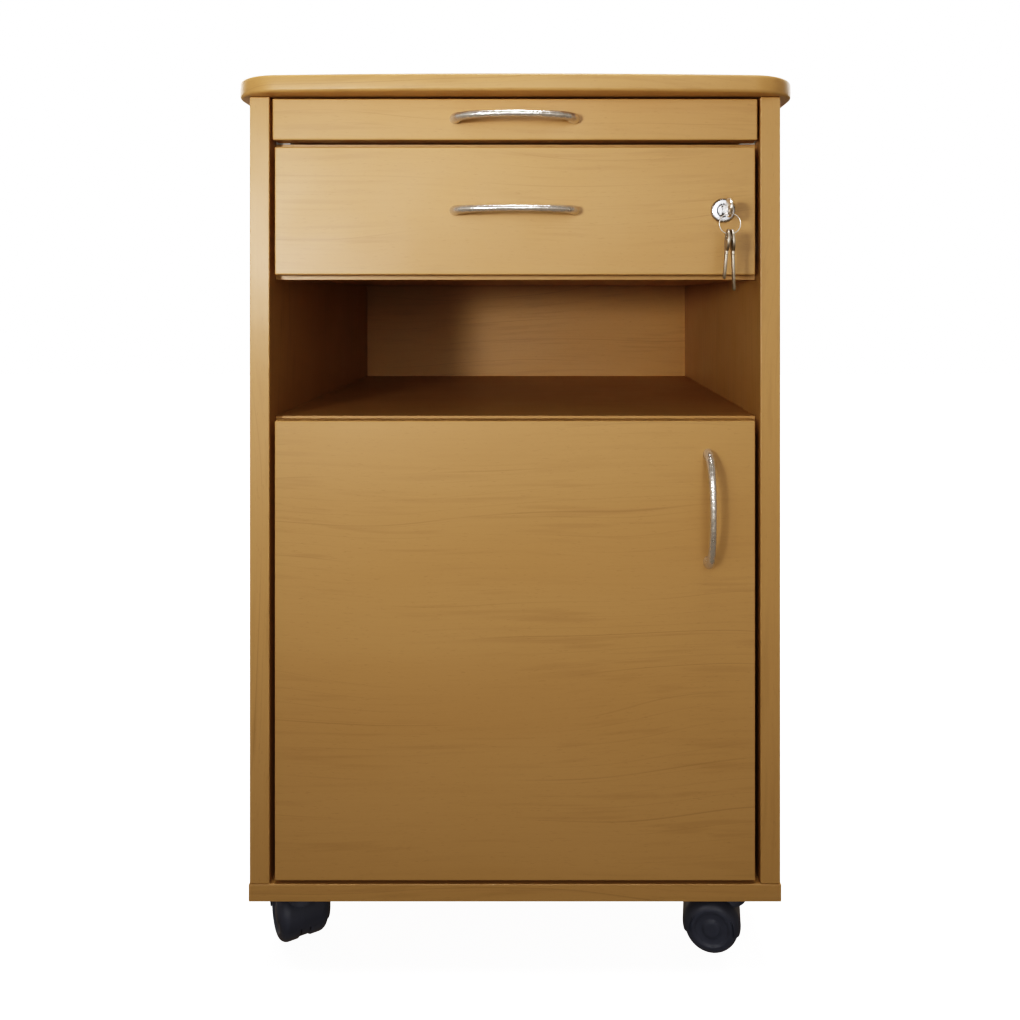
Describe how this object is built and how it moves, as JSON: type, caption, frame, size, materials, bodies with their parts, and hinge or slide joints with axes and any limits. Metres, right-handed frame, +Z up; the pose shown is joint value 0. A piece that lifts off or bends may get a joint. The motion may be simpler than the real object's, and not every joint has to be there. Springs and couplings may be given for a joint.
{
  "type": "bedside cabinet",
  "caption": "Wooden bedside cabinet on swivel casters: bowed top, pull-out tray, lockable drawer on roller runners, open niche, and a cupboard with one hinged door and chrome bow handles",
  "frame": {"origin": "on the floor, under the middle of the whole object's box", "axes": "+Z up, the front with drawer and door faces -Y, +X to the right seen from the front"},
  "size_m": [0.51, 0.49, 0.81],
  "materials": {
    "beech": "satin beech-pattern facing with fine straight grain",
    "beech_inside": "matt beech-pattern facing",
    "drawer_board": "matt pale board with sealed edges",
    "chrome": "polished chrome plate",
    "runner_steel": "white powder coat",
    "white_plastic": "moulded, satin",
    "hinge_steel": "nickel plate, satin",
    "lock_metal": "nickel plate, polished face",
    "key_steel": "nickel plate, rubbed",
    "key_brass": "worn nickel on brass",
    "caster_steel": "zinc plate",
    "caster_hood": "moulded nylon, semi-gloss black",
    "caster_wheel": "moulded nylon, satin black"
  },
  "bodies": {
    "cabinet": {"top_panel": "beech", "side_panel_left": "beech", "side_panel_right": "beech", "base_panel": "beech", "back_panel": "beech_inside", "niche_shelf": "beech", "drawer_divider": "beech", "lock_rail": "beech", "cupboard_shelf": "beech_inside", "door_catch": "white_plastic", "drawer_track_left": "runner_steel", "drawer_track_right": "runner_steel", "tray_guide_left": "white_plastic", "tray_guide_right": "white_plastic", "hinge_arm_lower": "hinge_steel", "hinge_arm_upper": "hinge_steel", "caster_plate_front_left": "caster_steel", "caster_plate_front_right": "caster_steel", "caster_plate_rear_left": "caster_steel", "caster_plate_rear_right": "caster_steel"},
    "tray": {"tray_front": "beech", "tray_board": "drawer_board", "tray_handle": "chrome"},
    "drawer": {"drawer_front": "beech", "drawer_side_left": "drawer_board", "drawer_side_right": "drawer_board", "drawer_back": "drawer_board", "drawer_bottom": "drawer_board", "drawer_handle": "chrome", "drawer_runner_left": "runner_steel", "drawer_runner_right": "runner_steel", "lock_housing": "lock_metal"},
    "track_rollers": {"track_roller_left": "white_plastic", "track_roller_right": "white_plastic"},
    "drawer_rollers": {"drawer_roller_left": "white_plastic", "drawer_roller_right": "white_plastic"},
    "lock_bolt": {"lock_bolt": "lock_metal"},
    "lock_plug": {"lock_plug": "lock_metal", "key_in_lock": "key_steel"},
    "key_ring": {"key_ring": "key_steel"},
    "spare_keys": {"spare_key_short": "key_brass", "spare_key_long": "key_brass"},
    "door": {"door_panel": "beech", "door_handle": "chrome", "hinge_cup_lower": "hinge_steel", "hinge_cup_upper": "hinge_steel"},
    "hinge_links": {"hinge_link_lower": "hinge_steel", "hinge_link_upper": "hinge_steel"},
    "caster_front_left": {"caster_hood_front_left": "caster_hood"},
    "wheels_front_left": {"wheel_front_left_a": "caster_wheel", "wheel_front_left_b": "caster_wheel"},
    "caster_front_right": {"caster_hood_front_right": "caster_hood"},
    "wheels_front_right": {"wheel_front_right_a": "caster_wheel", "wheel_front_right_b": "caster_wheel"},
    "caster_rear_left": {"caster_hood_rear_left": "caster_hood"},
    "wheels_rear_left": {"wheel_rear_left_a": "caster_wheel", "wheel_rear_left_b": "caster_wheel"},
    "caster_rear_right": {"caster_hood_rear_right": "caster_hood"},
    "wheels_rear_right": {"wheel_rear_right_a": "caster_wheel", "wheel_rear_right_b": "caster_wheel"}
  },
  "joints": [
    {"name": "pull_out_tray", "type": "slide", "parent": "cabinet", "child": "tray", "axis": [0, -1, 0], "range_m": [0, 0.28]},
    {"name": "drawer_slide", "type": "slide", "parent": "cabinet", "child": "drawer", "axis": [0, -1, 0], "range_m": [0, 0.3]},
    {"name": "turn_track_rollers", "type": "hinge", "parent": "cabinet", "child": "track_rollers", "pos_m": [0, -0.173, 0.6597], "axis": [1, 0, 0], "continuous": true},
    {"name": "turn_drawer_rollers", "type": "hinge", "parent": "drawer", "child": "drawer_rollers", "pos_m": [0, 0.187, 0.6597], "axis": [1, 0, 0], "continuous": true},
    {"name": "lock_turn", "type": "hinge", "parent": "drawer", "child": "lock_plug", "pos_m": [0.188, -0.205, 0.691], "axis": [0, -1, 0], "range_deg": [0, 90]},
    {"name": "lock_bolt_slide", "type": "slide", "parent": "drawer", "child": "lock_bolt", "axis": [0, 0, 1], "range_m": [0, 0.0058]},
    {"name": "key_ring_hang", "type": "hinge", "parent": "lock_plug", "child": "key_ring", "pos_m": [0.188, -0.236, 0.6837], "axis": [0, -1, 0], "range_deg": [-90, 0]},
    {"name": "key_swing", "type": "hinge", "parent": "key_ring", "child": "spare_keys", "pos_m": [0.188, -0.236, 0.6676], "axis": [1, 0, 0], "range_deg": [-60, 25]},
    {"name": "door_swing", "type": "hinge", "parent": "cabinet", "child": "door", "pos_m": [-0.2197, -0.205, 0.293], "axis": [0, 0, -1], "range_deg": [0, 95]},
    {"name": "hinge_links_turn", "type": "hinge", "parent": "cabinet", "child": "hinge_links", "pos_m": [-0.2032, -0.1905, 0.293], "axis": [0, 0, -1], "range_deg": [0, 76]},
    {"name": "swivel_front_left", "type": "hinge", "parent": "cabinet", "child": "caster_front_left", "pos_m": [-0.2015, -0.164, 0.063], "axis": [0, 0, 1], "continuous": true},
    {"name": "wheels_front_left_spin", "type": "hinge", "parent": "caster_front_left", "child": "wheels_front_left", "pos_m": [-0.2095, -0.15014, 0.025], "axis": [-0.866, -0.5, 0], "continuous": true},
    {"name": "swivel_front_right", "type": "hinge", "parent": "cabinet", "child": "caster_front_right", "pos_m": [0.2015, -0.164, 0.063], "axis": [0, 0, 1], "continuous": true},
    {"name": "wheels_front_right_spin", "type": "hinge", "parent": "caster_front_right", "child": "wheels_front_right", "pos_m": [0.18574, -0.16122, 0.025], "axis": [-0.1736, -0.9848, 0], "continuous": true},
    {"name": "swivel_rear_left", "type": "hinge", "parent": "cabinet", "child": "caster_rear_left", "pos_m": [-0.2015, 0.193, 0.063], "axis": [0, 0, 1], "continuous": true},
    {"name": "wheels_rear_left_spin", "type": "hinge", "parent": "caster_rear_left", "child": "wheels_rear_left", "pos_m": [-0.19872, 0.17724, 0.025], "axis": [0.9848, 0.1736, 0], "continuous": true},
    {"name": "swivel_rear_right", "type": "hinge", "parent": "cabinet", "child": "caster_rear_right", "pos_m": [0.2015, 0.193, 0.063], "axis": [0, 0, 1], "continuous": true},
    {"name": "wheels_rear_right_spin", "type": "hinge", "parent": "caster_rear_right", "child": "wheels_rear_right", "pos_m": [0.1935, 0.17914, 0.025], "axis": [0.866, -0.5, 0], "continuous": true}
  ],
  "couplings": [
    {"joint": "lock_bolt_slide", "follows": "lock_turn", "m_per_rad": 0.0036013},
    {"joint": "key_ring_hang", "follows": "lock_turn", "ratio": -1},
    {"joint": "hinge_links_turn", "follows": "door_swing", "ratio": 0.8}
  ]
}
